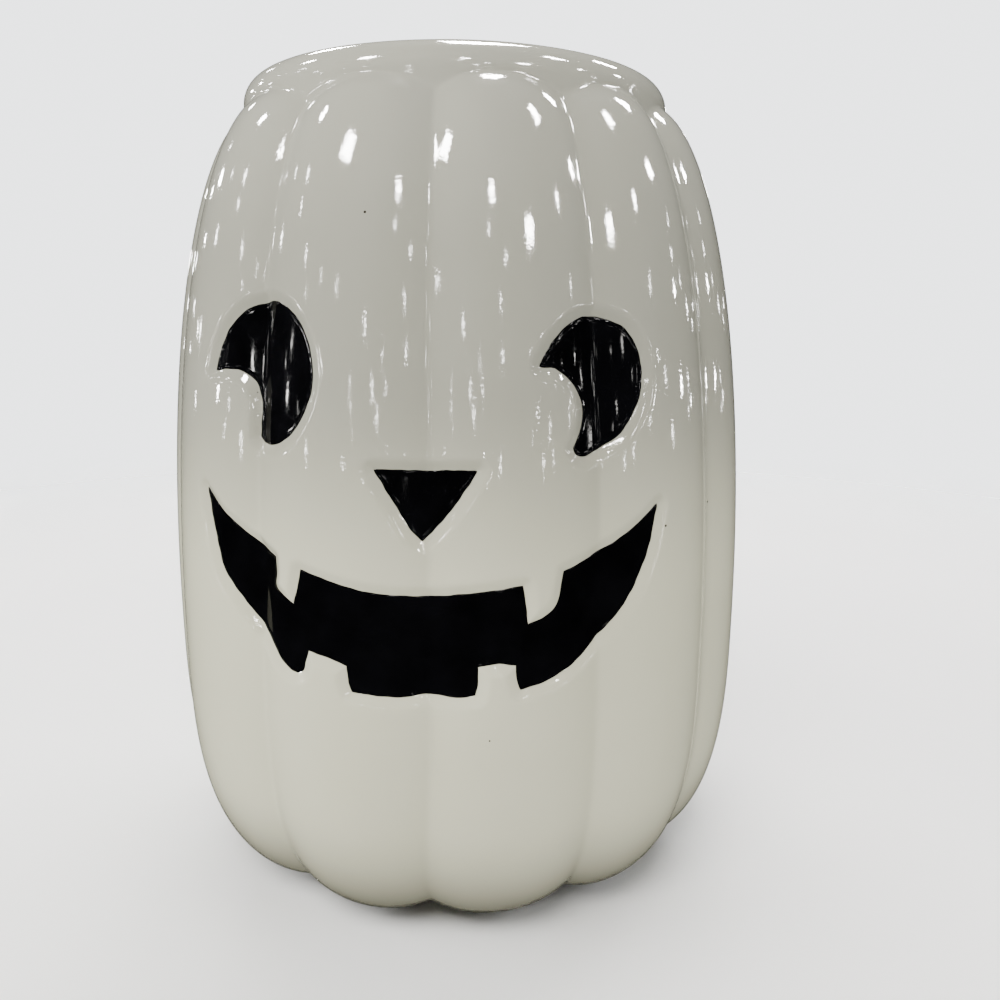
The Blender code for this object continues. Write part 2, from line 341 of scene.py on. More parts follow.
# %% Columns round the body and rows up it
COLLAR_R = 121.5
FACE_EDGES = (-48.0, 43.0)
FACE_HEIGHTS = (146.0, 344.0)
FACE_COLUMNS, BACK_COLUMNS = 321, 241
RIB_ROWS_LOW, RIB_ROWS_FACE, RIB_ROWS_HIGH = 70, 231, 60

face_columns = np.linspace(*FACE_EDGES, FACE_COLUMNS)
back_columns = np.linspace(FACE_EDGES[1], FACE_EDGES[0] + 360, BACK_COLUMNS)[1:-1]
column_angle = np.concatenate([face_columns, back_columns])
column_share = sunk_share(column_angle)

crest_along = np.concatenate([[0], np.cumsum(np.hypot(np.diff(crest_r), np.diff(crest_z)))])
face_low, face_high = np.interp(FACE_HEIGHTS, crest_z, crest_along)
rib_rows_low = np.concatenate([
    np.linspace(0, face_low, RIB_ROWS_LOW)[:-1], np.linspace(face_low, face_high, RIB_ROWS_FACE)
])
print("columns:", len(column_angle), "rows up to the brow:", len(rib_rows_low))

# %% Fill each column in
WELL_UP = 300


def rib_column(share):
    """Radii and heights up a column, from under the body to the collar."""
    depth = VALLEY_DEPTH * share
    r, z = crest_r - depth * out_r, crest_z - depth * out_z
    top = np.nonzero((r[1:] < COLLAR_R) & (crest_z[1:] > WELL_UP))[0][0]
    part = (r[top] - COLLAR_R) / (r[top] - r[top + 1])
    end = crest_along[top] + part * (crest_along[top + 1] - crest_along[top])
    stops = np.concatenate([rib_rows_low, np.linspace(face_high, end, RIB_ROWS_HIGH + 1)[1:]])
    return np.interp(stops, crest_along, r), np.interp(stops, crest_along, z)


ribs = [rib_column(share) for share in column_share]
rib_r = np.array([column[0] for column in ribs]).T
rib_z = np.array([column[1] for column in ribs]).T
print("ribbed net:", rib_r.shape, "arches from", rib_z[-1].min().round(1), "to",
      rib_z[-1].max().round(1), "mm up")

# %% Sink the face into the ribs
round_mm = np.where(column_angle > 180, column_angle - 360, column_angle)
round_mm = np.radians(round_mm) * FACE_R
spots = np.stack([np.broadcast_to(round_mm, rib_z.shape), rib_z], -1).reshape(-1, 2)
sunk = field_depth(face_distance(spots)).reshape(rib_r.shape)
rib_r -= sunk
print("sunk points:", int((sunk > 0).sum()), "of", sunk.size)

# %% [markdown]
# ## The collar, the top and the foot
#
# Above the arches the mould has a plain round collar, a rolled edge and a flat top to sit on.
# Below the ribs the body turns in sharply to a foot ring that stands 2 mm off the floor, on its
# pads. They are more rows of the same net, so the glaze runs over them without a seam.

# %% Rows for the collar and the top
EDGE_ROUND = 14.0
COLLAR_ROWS = 10
EDGE_ROWS = 12
TOP_RINGS = (100, 88, 76, 64, 52, 40, 28, 16, 5)


def collar_rows():
    """Radii and heights over the collar and the top, one row of the net at a time."""
    join = rib_z[-1]
    round_z = HEIGHT - EDGE_ROUND
    rows = []
    for share in np.linspace(0, 1, COLLAR_ROWS + 1)[1:]:
        rows.append((np.full_like(join, COLLAR_R), join + share * (round_z - join)))
    for turn in np.linspace(0, np.pi / 2, EDGE_ROWS + 1)[1:]:
        r = COLLAR_R - EDGE_ROUND * (1 - np.cos(turn))
        rows.append((np.full_like(join, r), np.full_like(join, round_z + EDGE_ROUND * np.sin(turn))))
    for r in TOP_RINGS:
        rows.append((np.full_like(join, r), np.full_like(join, HEIGHT)))
    return rows


def stacked(rows):
    """The rows' radii in one array and their heights in another."""
    return np.array([row[0] for row in rows]), np.array([row[1] for row in rows])


top_r, top_z = stacked(collar_rows())
print("rows over the collar and top:", len(top_r))

# %% Rows for the foot
FOOT_R = 103.0
FOOT_Z = 2.3
FOOT_EDGE = 0.6
UNDER_INSET = 2
FOOT_ROWS = 4


def foot_rows():
    """Radii and heights from the foot's resting face up to the ribs."""
    under = rib_z[0]
    foot_top = FOOT_Z + FOOT_EDGE
    rows = [(np.full_like(under, FOOT_R), np.full_like(under, FOOT_Z))]
    for share in np.linspace(0, 1, FOOT_ROWS + 2)[1:-1]:
        rows.append((np.full_like(under, FOOT_R), foot_top + share * (under - foot_top)))
    rows.append((rib_r[0] - UNDER_INSET, rib_z[0]))
    return rows


foot_r, foot_z = stacked(foot_rows())
skin_r = np.concatenate([foot_r, rib_r, top_r])
skin_z = np.concatenate([foot_z, rib_z, top_z])
print("outside net:", skin_r.shape, "rows and columns")

# %% [markdown]
# ## A soft crease under the collar
#
# Where the arches meet the collar the glaze fills the corner with a small curve. The rows near
# the join are drawn toward their neighbours a few times over, most at the join itself, which is
# what surface tension does to the melt.

# %% Ease the join
EASE_REACH = 5
EASE_ROUNDS = 10


def ease_seam(values, row):
    """Rounds one of the net's arrays off along its columns, close to this row."""
    reach = EASE_REACH
    span = slice(row - reach, row + reach + 1)
    weight = (1 - np.abs(np.arange(-reach, reach + 1)) / (reach + 1))[:, None]
    for _ in range(EASE_ROUNDS):
        around = (values[row - reach - 1:row + reach] + values[row - reach + 1:row + reach + 2])
        values[span] += 0.5 * weight * (around / 2 - values[span])


seam_row = len(foot_r) + len(rib_r) - 1
ease_seam(skin_r, seam_row)
ease_seam(skin_z, seam_row)
print("the crease lies", skin_r[seam_row].min().round(1), "to", skin_r[seam_row].max().round(1),
      "mm from the axis")

# %% [markdown]
# ## From a net to a mesh
#
# Blender makes a mesh from a list of points and a list of faces that name them. The net gives
# both: its points are turned round the axis by their column's angle, and each gap between two
# rows and two columns is one four-sided face. The last row closes on a single point.

# %% A mesh from points and faces
def piece_from(name, vertices, faces):
    """A smooth-shaded object in the scene, made of these points and faces."""
    mesh = bpy.data.meshes.new(name)
    mesh.from_pydata([tuple(v) for v in vertices], [], faces)
    mesh.validate()
    mesh.shade_smooth()
    piece = bpy.data.objects.new(name, mesh)
    bpy.context.scene.collection.objects.link(piece)
    return piece


def wrapped(r, z, angle):
    """Positions in metres from radii, heights in millimetres and angles from the front."""
    turn = np.radians(angle)
    r, z, turn = np.broadcast_arrays(r, z, turn)
    return np.stack([r * np.sin(turn), -r * np.cos(turn), z], -1) * MM


def net_faces(rows, columns, pole):
    """Quads between the rows, closed round the axis, and triangles from the last row to a pole."""
    faces = []
    for row in range(rows - 1):
        for column in range(columns):
            after = (column + 1) % columns
            low, high = row * columns, (row + 1) * columns
            faces.append((low + column, low + after, high + after, high + column))
    last = (rows - 1) * columns
    faces += [(last + c, last + (c + 1) % columns, pole) for c in range(columns)]
    return faces


print("a net of 3 rows and 8 columns has", len(net_faces(3, 8, 24)), "faces")

# %% [markdown]
# ## The glazed outside
#
# On the real piece the middle valley doesn't run quite straight: below the mouth it swings a
# little to the left on its way to the foot, as a line cut by hand does. So the columns near it
# are turned by up to 2.3 degrees, fully at the foot and not at all at the mouth or at the
# valleys beside it. The rest of the net stays where it is.

# %% The skin
TWIST = -2.3
TWIST_BELOW = 125.0
TWIST_REACH = 29.0

twist_share = np.cos(np.radians(90 * np.clip(column_angle / TWIST_REACH, -1, 1))) ** 2
lowness = np.clip(1 - skin_z / TWIST_BELOW, 0, 1)
skin_angle = column_angle + TWIST * twist_share * lowness
skin_points = wrapped(skin_r, skin_z, skin_angle).reshape(-1, 3)
skin_points = np.vstack([skin_points, [0, 0, HEIGHT * MM]])
rows, columns = skin_r.shape
skin = piece_from("glazed_skin", skin_points, net_faces(rows, columns, rows * columns))
print("skin:", len(skin.data.vertices), "points")

# %% [markdown]
# ## The black glaze
#
# The black is its own layer of glass, brushed into the sunk fields and melted. It covers the floor
# and climbs a little way up the lip. It is built here as a thin sheet that follows the sunk
# surface: the outline is filled with a fine triangle mesh while it is still flat, the sheet is
# wrapped and sunk like the body was, and then it is given a thickness. Painting the black on as
# a colour would be quicker, but a separate layer keeps its crisp edge and can be swapped.

# %% A table of the ribbed surface under the glaze
SHARE_STEPS, HEIGHT_STEPS = 81, 421
TABLE_HEIGHTS = (140, 350)

share_steps = np.linspace(0, 1, SHARE_STEPS)
height_steps = np.linspace(*TABLE_HEIGHTS, HEIGHT_STEPS)
surface_table = np.array([
    np.interp(height_steps, crest_z - VALLEY_DEPTH * share * out_z,
              crest_r - VALLEY_DEPTH * share * out_r)
    for share in share_steps
])


def surface_radius(angle, z):
    """The radius of the ribbed surface, before the face was sunk."""
    across = sunk_share(angle) * (SHARE_STEPS - 1)
    up = (z - height_steps[0]) / (height_steps[1] - height_steps[0])
    i = np.clip(across.astype(int), 0, SHARE_STEPS - 2)
    j = np.clip(up.astype(int), 0, HEIGHT_STEPS - 2)
    a, b = across - i, up - j
    table = surface_table
    return ((1 - a) * ((1 - b) * table[i, j] + b * table[i, j + 1])
            + a * ((1 - b) * table[i + 1, j] + b * table[i + 1, j + 1]))


print("radius at the nose:", surface_radius(np.array([0.0]), np.array([250.0])).round(1), "mm")

# %% Fill an outline with triangles
FILL_SPACING = 1.1
FILL_MARGIN = 0.55
INSIDE_ONLY = 1


def filled(line):
    """Points and triangles that fill the flat outline with an even mesh."""
    low, high = line.min(0), line.max(0)
    grid = np.stack(np.meshgrid(
        np.arange(low[0], high[0], FILL_SPACING), np.arange(low[1], high[1], FILL_SPACING)
    ), -1).reshape(-1, 2)
    grid = grid[edge_distance(grid, line) < -FILL_MARGIN]
    points = [Vector(p) for p in np.vstack([line, grid])]
    edge = list(range(len(line)))
    result = delaunay_2d_cdt(points, [], [edge], INSIDE_ONLY, 1e-4)
    return np.array([tuple(p) for p in result[0]]), [tuple(face) for face in result[2]]


print("the nose takes", len(filled(PAINTED["nose"])[1]), "triangles")


# %% Wrap the four sheets onto the body
GLAZE_THICKNESS = 0.2


def glaze_sheet(feature):
    """One field of black glaze, lying on the sunk floor of this feature."""
    flat, triangles = filled(PAINTED[feature])
    angle = np.degrees(flat[:, 0] / FACE_R)
    r = surface_radius(angle, flat[:, 1]) - field_depth(edge_distance(flat, FACE[feature]))
    sheet = piece_from("black_" + feature, wrapped(r, flat[:, 1], angle), triangles)
    layer = sheet.modifiers.new("Layer of glaze", "SOLIDIFY")
    layer.thickness = GLAZE_THICKNESS * MM
    layer.offset = 1.0
    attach(sheet, "root")
    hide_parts(feature + "_glaze")
    return sheet


glazes = [glaze_sheet(feature) for feature in FACE]
for sheet in glazes:
    print(sheet.name, len(sheet.data.polygons), "triangles")

# %% [markdown]
# ## The bare inside
#
# The inside was never glazed. It follows the outside at the thickness of the cast wall, closes
# under the top, and comes down to a ring-shaped foot that was wiped clean so that it wouldn't
# stick to the kiln shelf. It is a second net, coarser than the first because hardly anyone looks
# in there, and its faces are turned over so that they face the hollow.

# %% One column of the inside
WALL = 8.0
HOLE_R = 86.0
ROOF_Z = 448.0
ROOF_EDGE_Z = 441.0
INSIDE_ROWS = 60
INSIDE_COLUMNS = 144


def inside_column(share):
    """Radii and heights from the foot's outer edge, up the wall and in under the top."""
    depth = WALL + VALLEY_DEPTH * share
    r, z = crest_r - depth * out_r, crest_z - depth * out_z
    under_collar = COLLAR_R - WALL
    keep = (r >= HOLE_R) & ((r > under_collar) | (crest_z < WELL_UP))
    r, z = r[keep], z[keep]
    along = np.linspace(0, 1, len(r))
    stops = np.linspace(0, 1, INSIDE_ROWS)
    r, z = np.interp(stops, along, r), np.interp(stops, along, z)
    bend = [(FOOT_R - 0.4, FOOT_Z), (FOOT_R - 6, FOOT_Z), (HOLE_R + 2, FOOT_Z),
            (HOLE_R, FOOT_Z + 2), (HOLE_R, z[0] - 3), (HOLE_R + 3, z[0])]
    roof = [(under_collar - 1, ROOF_EDGE_Z), (under_collar - 9, ROOF_Z), (60.0, ROOF_Z),
            (8.0, ROOF_Z)]
    rows = bend + list(zip(r, z)) + roof
    return [p[0] for p in rows], [p[1] for p in rows]


print("the hole in the foot is", 2 * HOLE_R, "mm wide")

# %% The inside as one piece
inside_angle = np.linspace(-180, 180, INSIDE_COLUMNS + 1)[:-1]
sides = [inside_column(share) for share in sunk_share(inside_angle)]
side_r = np.array([side[0] for side in sides]).T
side_z = np.array([side[1] for side in sides]).T
inner_points = wrapped(side_r, side_z, inside_angle).reshape(-1, 3)
inner_points = np.vstack([inner_points, [0, 0, ROOF_Z * MM]])
rows, columns = side_r.shape
inner_faces = [face[::-1] for face in net_faces(rows, columns, rows * columns)]
bare_inside = piece_from("bare_inside", inner_points, inner_faces)
print("inside:", len(bare_inside.data.vertices), "points")

# %% The skin and the inside stand in for the cast body
for piece in (skin, bare_inside):
    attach(piece, "root")
    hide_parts("ceramic_body")
print("together they are the ceramic body")

# %% [markdown]
# ## Finishes
#
# All finishes are built from noise laid through the object's own space, so they look right from
# any side and don't depend on where the camera is. A finish starts from the one shader that
# Blender gives a new material. The helpers below each add one or two nodes to it.

# %% Start a finish, and lay noise through it
def new_finish(name):
    """A new material, its node tree and its shader."""
    finish = bpy.data.materials.new(name)
    finish.use_nodes = True
    tree = finish.node_tree
    return finish, tree, tree.nodes["Principled BSDF"]


def noise(tree, scale, detail=2.0, roughness=0.5):
    """Noise in the object's own space. Scale is in blobs to the metre."""
    place = tree.nodes.new("ShaderNodeTexCoord")
    node = tree.nodes.new("ShaderNodeTexNoise")
    node.inputs["Scale"].default_value = scale
    node.inputs["Detail"].default_value = detail
    node.inputs["Roughness"].default_value = roughness
    tree.links.new(place.outputs["Object"], node.inputs["Vector"])
    return node.outputs["Fac"]


print("materials so far:", len(bpy.data.materials))

# %% Turn a value into a colour, or into another range
def ramp(tree, value, stops):
    """Turns a value into a colour through these (position, colour) stops."""
    node = tree.nodes.new("ShaderNodeValToRGB")
    elements = node.color_ramp.elements
    for element, (position, colour) in zip(elements, stops):
        element.position = position
        element.color = (*colour, 1.0)
    tree.links.new(value, node.inputs["Fac"])
    return node.outputs["Color"]


def between(tree, value, low, high, to_low, to_high):
    """Maps low..high of a value onto to_low..to_high."""
    node = tree.nodes.new("ShaderNodeMapRange")
    node.inputs["From Min"].default_value = low
    node.inputs["From Max"].default_value = high
    node.inputs["To Min"].default_value = to_low
    node.inputs["To Max"].default_value = to_high
    tree.links.new(value, node.inputs["Value"])
    return node.outputs["Result"]


print("a ramp here always has two stops")

# %% Small relief
def bumped(tree, shader, layers):
    """Adds (height value, depth in metres, strength) layers of bump, one over the other."""
    last = None
    for height, depth, strength in layers:
        bump = tree.nodes.new("ShaderNodeBump")
        bump.inputs["Distance"].default_value = depth
        bump.inputs["Strength"].default_value = strength
        tree.links.new(height, bump.inputs["Height"])
        if last is not None:
            tree.links.new(last, bump.inputs["Normal"])
        last = bump.outputs["Normal"]
    tree.links.new(last, shader.inputs["Normal"])


print("bumps are given in metres:", MM / 10, "is a tenth of a millimetre")

# %% [markdown]
# ## How the light falls on the ivory, painted into its colour
#
# The ivory's colour changes with height, and these changes are painted light and shade. It is
# lighter on the lower half, where light comes up from the floor, darker round the upper wall as
# painted shade, a little less dark on the shoulder and the top, and much darker toward the foot as
# painted shade under the belly. The height alone decides it, so each change is a soft step between two
# heights.

# %% A soft step from one height to another, and a change of colour
def height_share(tree, low, high):
    """0 below one height and 1 above another, with a soft change between, in metres."""
    place = tree.nodes.new("ShaderNodeTexCoord")
    split = tree.nodes.new("ShaderNodeSeparateXYZ")
    tree.links.new(place.outputs["Object"], split.inputs["Vector"])
    node = tree.nodes.new("ShaderNodeMapRange")
    node.interpolation_type = "SMOOTHSTEP"
    node.inputs["From Min"].default_value = low
    node.inputs["From Max"].default_value = high
    tree.links.new(split.outputs["Z"], node.inputs["Value"])
    return node.outputs["Result"]


def mixed(tree, share, one, other):
    """One colour turning into another as the share rises."""
    node = tree.nodes.new("ShaderNodeMix")
    node.data_type = "RGBA"
    tree.links.new(share, node.inputs["Factor"])
    for value, socket in ((one, node.inputs["A"]), (other, node.inputs["B"])):
        if isinstance(value, tuple):
            socket.default_value = (*value, 1.0)
        else:
            tree.links.new(value, socket)
    return node.outputs["Result"]


print("the steps lie between 0 and", HEIGHT * MM, "m up")

# %% [markdown]
# ## Pinholes
#
# Here and there a gas bubble bursts as the glaze melts and leaves a dark speck smaller than a
# pinhead. Cells of random size fill the space, and a small ball in the middle of one cell in
# twenty is a speck wherever the surface cuts it, so only a few show.

# %% Scattered specks
def compared(tree, how, value, limit):
    """1 where the value is past the limit that way, 0 elsewhere."""
    node = tree.nodes.new("ShaderNodeMath")
    node.operation = how
    tree.links.new(value, node.inputs[0])
    node.inputs[1].default_value = limit
    return node.outputs["Value"]


def pinholes(tree, per_metre, radius, rarity):
    """1 in a few round specks, with the cells to a metre and the radius as a share of a cell."""
    place = tree.nodes.new("ShaderNodeTexCoord")
    cells = tree.nodes.new("ShaderNodeTexVoronoi")
    cells.inputs["Scale"].default_value = per_metre
    tree.links.new(place.outputs["Object"], cells.inputs["Vector"])
    split = tree.nodes.new("ShaderNodeSeparateColor")
    tree.links.new(cells.outputs["Color"], split.inputs["Color"])
    near = compared(tree, "LESS_THAN", cells.outputs["Distance"], radius)
    chosen = compared(tree, "GREATER_THAN", split.outputs["Red"], rarity)
    both = tree.nodes.new("ShaderNodeMath")
    both.operation = "MULTIPLY"
    tree.links.new(near, both.inputs[0])
    tree.links.new(chosen, both.inputs[1])
    return both.outputs["Value"]


SPECK_CELLS = 70.0
SPECK_RADIUS = 0.045
SPECK_RARITY = 0.95
print("a speck is about", round(2 * SPECK_RADIUS / SPECK_CELLS / MM, 1), "mm across")

# %% [markdown]
# ## The ivory glaze
#
# It is a clear, hard glass with a little white and yellow in it, so it mirrors lamps sharply and
# shows a soft cream underneath. Its surface is never quite flat: it sags in waves a few
# centimetres long, has a finer orange peel, and a haze of tiny pits that frays the edges of the
# glints. Three layers of bump, from coarse to fine, give those three.

# %% The ivory's colour
BUBBLE = (0.03, 0.025, 0.02)

ivory, tree, shader = new_finish("ivory_glaze")
cloud = noise(tree, 9.0, 3.0)
# Painted light and shade: a lighter ivory for the lower half, a darker one for the upper wall and a
# less dark one for the shoulder and top.
lit_lower_ivory = ramp(tree, cloud, [(0.3, (0.500, 0.492, 0.370)), (0.7, (0.530, 0.522, 0.400))])
shaded_wall_ivory = ramp(tree, cloud, [(0.3, (0.286, 0.283, 0.233)), (0.7, (0.307, 0.304, 0.252))])
less_shaded_shoulder_ivory = ramp(tree, cloud, [(0.3, (0.345, 0.341, 0.286)), (0.7, (0.368, 0.364, 0.308))])
# Painted shade: a much darker ivory from the foot up to 83 mm, where little light reaches under the
# belly.
shaded_foot_ivory = ramp(tree, cloud, [(0.3, (0.125, 0.121, 0.094)), (0.7, (0.145, 0.140, 0.109))])
colour = mixed(tree, height_share(tree, 0.19, 0.30), lit_lower_ivory, shaded_wall_ivory)
colour = mixed(tree, height_share(tree, 0.35, 0.44), colour, less_shaded_shoulder_ivory)
colour = mixed(tree, height_share(tree, -0.002, 0.083), shaded_foot_ivory, colour)
specks = pinholes(tree, SPECK_CELLS, SPECK_RADIUS, SPECK_RARITY)
colour = mixed(tree, specks, colour, BUBBLE)
tree.links.new(colour, shader.inputs["Base Color"])
print("the ivory's colour takes", len(tree.nodes), "nodes")

# %% The ivory's gloss and surface
GLASS_IOR = 1.52

shader.inputs["Metallic"].default_value = 0.0
shader.inputs["IOR"].default_value = GLASS_IOR
gloss = between(tree, noise(tree, 30.0), 0.3, 0.7, 0.035, 0.07)
tree.links.new(gloss, shader.inputs["Roughness"])
bumped(tree, shader, [
    (noise(tree, 30.0, 1.0), 0.0006, 0.3),
    (noise(tree, 160.0, 2.0), 0.00007, 0.5),
    (noise(tree, 700.0, 1.0), 0.00003, 0.8),
])
skin.data.materials.append(ivory)
print(skin.name, "is finished with", ivory.name)

# %% [markdown]
# ## The black finish
#
# Iron and cobalt make this glass so dark that nearly all one sees is its reflection. It is a
# little rougher than the ivory and mirrors the lamps more weakly, so the fields read as deep
# black with a few small glints. Brush strokes leave it gently uneven.

# %% The black finish
black, tree, shader = new_finish("brushed_black_glaze")
shader.inputs["Metallic"].default_value = 0.0
shader.inputs["IOR"].default_value = GLASS_IOR
shader.inputs["Specular IOR Level"].default_value = 0.08
strokes = noise(tree, 40.0, 3.0)
colour = ramp(tree, strokes, [(0.35, (0.0008, 0.0008, 0.001)), (0.7, (0.002, 0.002, 0.0026))])
tree.links.new(colour, shader.inputs["Base Color"])
gloss = between(tree, noise(tree, 35.0), 0.35, 0.65, 0.045, 0.09)
tree.links.new(gloss, shader.inputs["Roughness"])
bumped(tree, shader, [
    (noise(tree, 60.0, 1.0), 0.0005, 0.25),
    (noise(tree, 300.0, 2.0), 0.00006, 0.35),
])
for sheet in glazes:
    sheet.data.materials.append(black)
print("black on", [sheet.name for sheet in glazes])

# %% [markdown]
# ## The bare clay
#
# Fired clay without glaze is matt, warm and slightly blotched, with a fine grain that can be felt
# with a fingertip. High roughness and a fine bump are enough.

# %% The clay finish
clay, tree, shader = new_finish("bare_clay")
shader.inputs["Metallic"].default_value = 0.0
blotches = noise(tree, 25.0, 6.0, 0.6)
colour = ramp(tree, blotches, [(0.3, (0.60, 0.55, 0.47)), (0.7, (0.70, 0.65, 0.57))])
tree.links.new(colour, shader.inputs["Base Color"])
gloss = between(tree, noise(tree, 200.0), 0.3, 0.7, 0.75, 0.95)
tree.links.new(gloss, shader.inputs["Roughness"])
bumped(tree, shader, [(noise(tree, 900.0, 3.0), 0.0002, 0.4)])
bare_inside.data.materials.append(clay)
print(bare_inside.name, "is finished with", clay.name)

# %% [markdown]
# ## The pads
#
# Four thin rubber discs under the foot keep the glaze off the floor. The CAD frame already has
# them at the right size, and a plain disc gains nothing from being made again, so those are
# shown as they are with a dusty dark rubber on them.

# %% The rubber finish
PADS = 4

rubber, tree, shader = new_finish("pad_rubber")
shader.inputs["Metallic"].default_value = 0.0
dust = noise(tree, 150.0, 4.0)
colour = ramp(tree, dust, [(0.3, (0.05, 0.05, 0.05)), (0.7, (0.075, 0.073, 0.07))])
tree.links.new(colour, shader.inputs["Base Color"])
gloss = between(tree, noise(tree, 400.0), 0.3, 0.7, 0.6, 0.8)
tree.links.new(gloss, shader.inputs["Roughness"])
bumped(tree, shader, [(noise(tree, 1200.0, 2.0), 0.0001, 0.3)])
for number in range(1, PADS + 1):
    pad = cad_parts["foot_pad_%d" % number]
    pad.data.materials.clear()
    pad.data.materials.append(rubber)
print("pads finished:", PADS)

# %% [markdown]
# ## The studio
#
# A glossy glaze shows the room it stands in, so the studio has two kinds of light. A few big soft
# ones give the even brightness, from high in front, from both sides and from behind. They are
# kept out of the reflections, so that the black stays black. Small lamp faces in rows under a
# high ceiling give the many little glints, crowded and small where they are far away and larger
# where they are nearly overhead.
#
# The floor is a round sheet of pale paper. It fades out before its edge into an equally pale
# background, which looks like a roll of studio paper from every side and has no corner to
# throw a shadow into.

# %% The paper floor
FLOOR_OUT = 1.8
FLOOR_STEP = 5
FADE_FROM, FADE_TO = 0.7, 1.75

floor_turns = [math.radians(turn) for turn in range(0, 360, FLOOR_STEP)]
floor_ring = [(FLOOR_OUT * math.cos(t), FLOOR_OUT * math.sin(t), 0.0) for t in floor_turns]
floor = piece_from("paper_floor", floor_ring, [tuple(range(len(floor_ring)))])
floor.visible_glossy = False
print("floor:", 2 * FLOOR_OUT, "m across")

# %% Its paper, clear toward the edge
paper, tree, shader = new_finish("pale_paper")
shader.inputs["Roughness"].default_value = 0.8
colour = ramp(tree, noise(tree, 3.0), [(0.3, (0.86, 0.86, 0.85)), (0.7, (0.88, 0.88, 0.87))])
tree.links.new(colour, shader.inputs["Base Color"])
place = tree.nodes.new("ShaderNodeTexCoord")
away = tree.nodes.new("ShaderNodeVectorMath")
away.operation = "LENGTH"
tree.links.new(place.outputs["Object"], away.inputs[0])
fade = tree.nodes.new("ShaderNodeMapRange")
fade.interpolation_type = "SMOOTHSTEP"
fade.inputs["From Min"].default_value = FADE_FROM
fade.inputs["From Max"].default_value = FADE_TO
fade.inputs["To Min"].default_value = 1.0
fade.inputs["To Max"].default_value = 0.0
tree.links.new(away.outputs["Value"], fade.inputs["Value"])
tree.links.new(fade.outputs["Result"], shader.inputs["Alpha"])
floor.data.materials.append(paper)
print("solid out to", FADE_FROM, "m and gone at", FADE_TO, "m")

# %% The background
AIR_COLOUR = (0.86, 0.88, 0.90, 1)
AIR_STRENGTH = 3.6

world = bpy.data.worlds.new("studio_air")
bpy.context.scene.world = world
world.use_nodes = True
background = world.node_tree.nodes["Background"]
background.inputs["Color"].default_value = AIR_COLOUR
background.inputs["Strength"].default_value = AIR_STRENGTH
world.cycles_visibility.diffuse = False
world.cycles_visibility.glossy = False
print("the background is only seen, it lights nothing")

# %% [markdown]
# ## The soft lights
#
# The strongest stands high in front and makes the lips and the shoulder a shade brighter than the
# wall. One on each side keeps the flanks from going dark, the left one twice as strong. A low,
# weak one lifts the underside of the belly, and a long one high up behind lights the paper.

# %% Five soft lights
MIDDLE = (0, 0, 0.2)
PLAIN = (1, 1, 1)
WARM = (1.0, 0.985, 0.95)


def soft_light(name, place, aim, size, power, colour):
    """A rectangular light that shines at the aim, and shows in no reflection."""
    light = bpy.data.lights.new(name, "AREA")
    light.shape = "RECTANGLE"
    light.size, light.size_y = size
    light.energy = power
    light.color = colour
    lamp = bpy.data.objects.new(name, light)
    lamp.location = place
    lamp.rotation_euler = (Vector(aim) - Vector(place)).to_track_quat("-Z", "Y").to_euler()
    lamp.visible_glossy = False
    lamp.visible_camera = False
    bpy.context.scene.collection.objects.link(lamp)


soft_light("low_front_light", (-0.25, -0.78, 0.06), (0, 0, 0.1), (0.9, 0.1), 1.0, WARM)
soft_light("high_front_light", (-0.5, -1.7, 2.3), MIDDLE, (1.5, 1.0), 94, WARM)
soft_light("left_light", (-1.7, -0.5, 1.0), MIDDLE, (1.0, 0.8), 36, PLAIN)
soft_light("right_light", (1.6, -0.7, 1.1), MIDDLE, (1.0, 0.8), 17, PLAIN)
soft_light("behind_light", (0.2, 1.6, 2.6), (0.2, 1.6, 0), (4.0, 1.2), 270, PLAIN)
print("soft lights:", len(bpy.data.lights))

# %% [markdown]
# ## The lamps that the glaze mirrors
#
# Each lamp is a flat panel given by where it is seen from the stool: how high, how far round from
# the front, how wide and how tall, all in degrees. The near ones are placed one by one, because
# their big glints on the shoulder are easy to recognise. The far ones come in rows, thinned out
# and shifted at random, as the lamps of a big hall look from its floor. One in six is a strong
# one. The panels light nothing and cast no shadow: they are only there to be mirrored.

# %% One lamp panel
LAMPS_AWAY = 6.0
LAMPS_UP = 0.3
LEAST_WIDTH_SHARE = 0.35


def lamp_panel(up, around, wide, tall):
    """Four corners of a lamp seen this high and this far round, with its size in degrees."""
    corners = []
    narrowing = max(LEAST_WIDTH_SHARE, math.cos(math.radians(up)))
    for side, end in ((-1, -1), (1, -1), (1, 1), (-1, 1)):
        height = math.radians(up + end * tall / 2)
        turn = math.radians(around + side * wide / 2 / narrowing)
        corners.append(Vector((
            math.cos(height) * math.sin(turn), -math.cos(height) * math.cos(turn), math.sin(height)
        )) * LAMPS_AWAY + Vector((0, 0, LAMPS_UP)))
    return corners


print("a panel straight in front:", [tuple(round(x, 2) for x in c) for c in lamp_panel(0, 0, 9, 9)])

# %% Place the near lamps and scatter the far ones
NEAR_LAMPS = [
    (45, -50, 7, 8), (55, 79, 6, 9), (38, 9, 4, 3.5), (29, 40, 6, 4), (44, -100, 4, 5),
    (66, 175, 12, 18), (46, 130, 6, 8), (44, -150, 6, 7), (30, 105, 4, 3.5),
]
FAR_ROWS = [
    (31, 18, 2.0, 1.8), (25, 16, 1.8, 1.7), (20, 14, 1.6, 1.6), (16, 13, 1.4, 1.5),
    (12, 12, 1.3, 1.4), (8, 11, 1.2, 1.3), (5, 10, 1.1, 1.2), (2, 10, 1.0, 1.1), (-1, 10, 1.0, 1.1),
]
FAR_SHARE = 0.30

